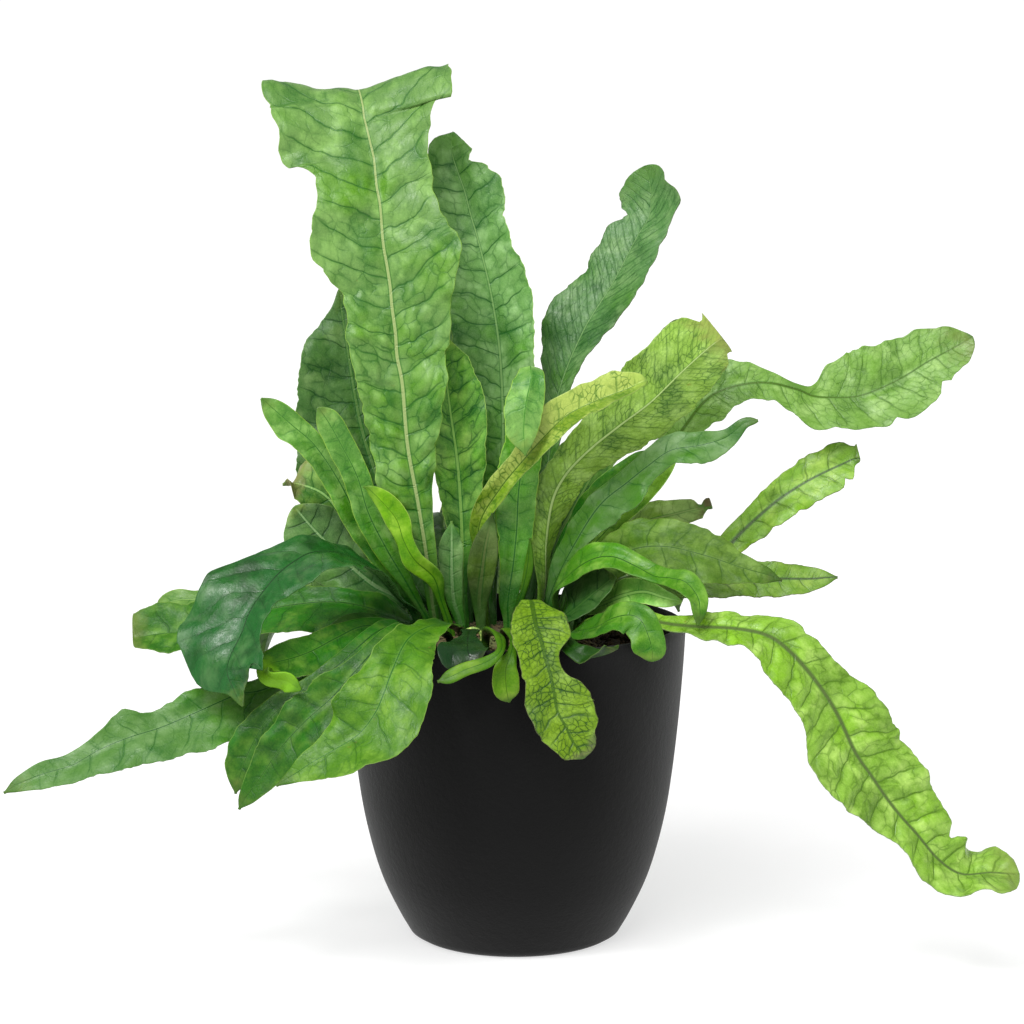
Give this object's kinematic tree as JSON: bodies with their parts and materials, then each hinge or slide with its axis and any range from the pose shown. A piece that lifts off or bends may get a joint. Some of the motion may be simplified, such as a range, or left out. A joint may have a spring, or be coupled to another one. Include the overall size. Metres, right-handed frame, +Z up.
{
  "type": "potted crocodile fern",
  "caption": "Round matt black pot holding a fern with long, puckered, strap-shaped green fronds that rise and arch over the rim.",
  "frame": {"origin": "middle of the pot's flat underside", "axes": "+Z up, -Y towards the side that the picture shows, +X to its right"},
  "size_m": [0.5627, 0.3592, 0.5076],
  "materials": {
    "pot": "matt, fine leathery grain",
    "mix": "dark bark and peat, matt",
    "rhizome": "scaly, matt",
    "leaf_deep": "waxy leaf",
    "leaf_green": "waxy leaf",
    "leaf_lime": "waxy leaf",
    "leaf_olive": "waxy leaf",
    "leaf_brown": "dry leaf"
  },
  "bodies": {
    "root": {"planter": "pot", "potting_mix": "mix", "rhizome": "rhizome", "crozier": "leaf_olive", "frond_tall_front": "leaf_green", "frond_second_centre": "leaf_green", "frond_tall_right": "leaf_green", "frond_right_upright": "leaf_green", "frond_back_left": "leaf_deep", "frond_left_olive": "leaf_olive", "frond_left_ribbed": "leaf_deep", "frond_dark_arch": "leaf_deep", "frond_left_long": "leaf_green", "frond_left_middle": "leaf_green", "frond_left_arched_tip": "leaf_lime", "frond_left_shaded": "leaf_deep", "frond_left_lower_back": "leaf_green", "frond_left_lower": "leaf_green", "frond_front_left_broad": "leaf_green", "frond_front_centre_net": "leaf_olive", "frond_lime_left": "leaf_lime", "frond_lime_paddle": "leaf_lime", "frond_front_dark": "leaf_deep", "frond_under_rim": "leaf_green", "frond_right_lobed": "leaf_green", "frond_long_right_droop": "leaf_green", "frond_right_pale": "leaf_green", "frond_right_wavy": "leaf_green", "frond_right_broad": "leaf_olive", "frond_right_low": "leaf_green", "frond_right_torn": "leaf_green", "frond_right_brown": "leaf_brown", "frond_grey_wavy": "leaf_deep", "frond_right_net_back": "leaf_olive", "frond_right_far": "leaf_green", "frond_right_behind": "leaf_green", "frond_right_bright": "leaf_green", "frond_right_yellow": "leaf_green", "frond_yellow_twist": "leaf_olive", "frond_centre_hooked": "leaf_green", "frond_left_lime_paddle": "leaf_lime", "frond_left_paddle": "leaf_green", "frond_lime_curl": "leaf_lime", "frond_grey_centre": "leaf_deep", "frond_brown_centre": "leaf_brown", "frond_lime_sliver": "leaf_lime", "frond_right_shaded": "leaf_deep", "frond_back_right_low": "leaf_green", "frond_back_right": "leaf_green", "frond_back_middle": "leaf_green", "frond_back_centre_left": "leaf_green", "frond_back_left_low": "leaf_green", "frond_back_young": "leaf_green", "frond_back_upright": "leaf_green"}
  },
  "joints": []
}
